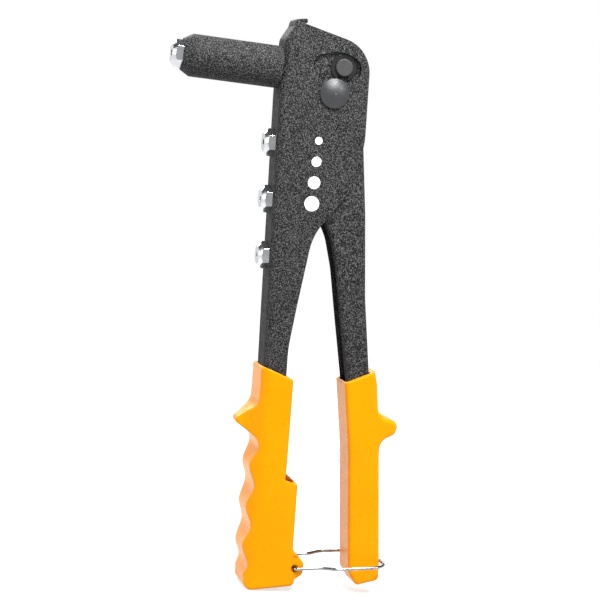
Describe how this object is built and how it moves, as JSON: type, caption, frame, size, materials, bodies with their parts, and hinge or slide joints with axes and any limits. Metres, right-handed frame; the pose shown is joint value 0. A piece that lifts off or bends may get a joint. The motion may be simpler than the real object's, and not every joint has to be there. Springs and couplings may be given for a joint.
{
  "type": "hand riveter",
  "caption": "Lever hand riveter: closing the handles draws a mandrel back through the nose; spare nosepieces sit in the body and a wire bail latches the grips.",
  "frame": {"origin": "centre of the fitted nosepiece's front face, on the barrel's axis", "axes": "+X back along the barrel's axis, +Z from the grips up towards the barrel, +Y across the tool; the tool's middle plane is XZ"},
  "size_m": [0.1275, 0.0342, 0.2636],
  "materials": {
    "textured_paint": "charcoal hammertone powder coat, satin",
    "blackened_steel": "smooth blackened steel, satin",
    "bright_zinc": "bright zinc plate",
    "tool_steel": "turned steel, lightly oiled",
    "amber_plastic": "amber polypropylene, glossy",
    "bright_wire": "nickel-plated spring wire"
  },
  "bodies": {
    "body": {"body_frame": "textured_paint", "barrel": "textured_paint", "barrel_bush": "tool_steel", "fitted_nosepiece": "bright_zinc", "spare_nosepiece_1": "bright_zinc", "spare_nosepiece_2": "bright_zinc", "spare_nosepiece_3": "bright_zinc", "body_grip": "amber_plastic", "pivot_pin": "blackened_steel", "pivot_screw": "blackened_steel"},
    "lever": {"lever_arm": "textured_paint", "lever_grip": "amber_plastic", "drive_pin": "blackened_steel", "drive_pin_clip_near": "blackened_steel", "drive_pin_clip_far": "blackened_steel", "pivot_spacer": "tool_steel"},
    "pull_head": {"pull_rod": "tool_steel", "jaw_case": "tool_steel", "case_lock_nut": "tool_steel"},
    "pusher": {"jaw_pusher": "tool_steel", "jaw_spring": "bright_wire"},
    "upper_jaw": {"jaw_upper": "tool_steel"},
    "lower_jaw": {"jaw_lower": "tool_steel"},
    "bail": {"wire_bail": "bright_wire"}
  },
  "joints": [
    {"name": "lever_pivot", "type": "hinge", "parent": "body", "child": "lever", "pos_m": [0.0749, 0, -0.0089], "axis": [0, -1, 0], "range_deg": [-5.5, 40]},
    {"name": "pull_slide", "type": "slide", "parent": "body", "child": "pull_head", "axis": [1, 0, 0], "range_m": [-0.0092, 0.0014]},
    {"name": "jaw_release", "type": "slide", "parent": "pull_head", "child": "pusher", "axis": [1, 0, 0], "range_m": [0, 0.0012], "stiffness_N_per_m": 1000, "springref_m": -0.002, "deforming": ["jaw_spring"]},
    {"name": "upper_jaw_slide", "type": "slide", "parent": "pull_head", "child": "upper_jaw", "axis": [0.972, 0, 0.2349], "range_m": [0, 0.00125]},
    {"name": "lower_jaw_slide", "type": "slide", "parent": "pull_head", "child": "lower_jaw", "axis": [0.972, 0, -0.2349], "range_m": [0, 0.00125]},
    {"name": "bail_hinge", "type": "hinge", "parent": "body", "child": "bail", "pos_m": [0.0831, 0, -0.2295], "axis": [0, -1, 0], "range_deg": [-210, 8]}
  ],
  "couplings": [
    {"joint": "pull_slide", "follows": "lever_pivot", "m_per_rad": -0.01236},
    {"joint": "upper_jaw_slide", "follows": "jaw_release", "ratio": 1.0288},
    {"joint": "lower_jaw_slide", "follows": "jaw_release", "ratio": 1.0288}
  ]
}
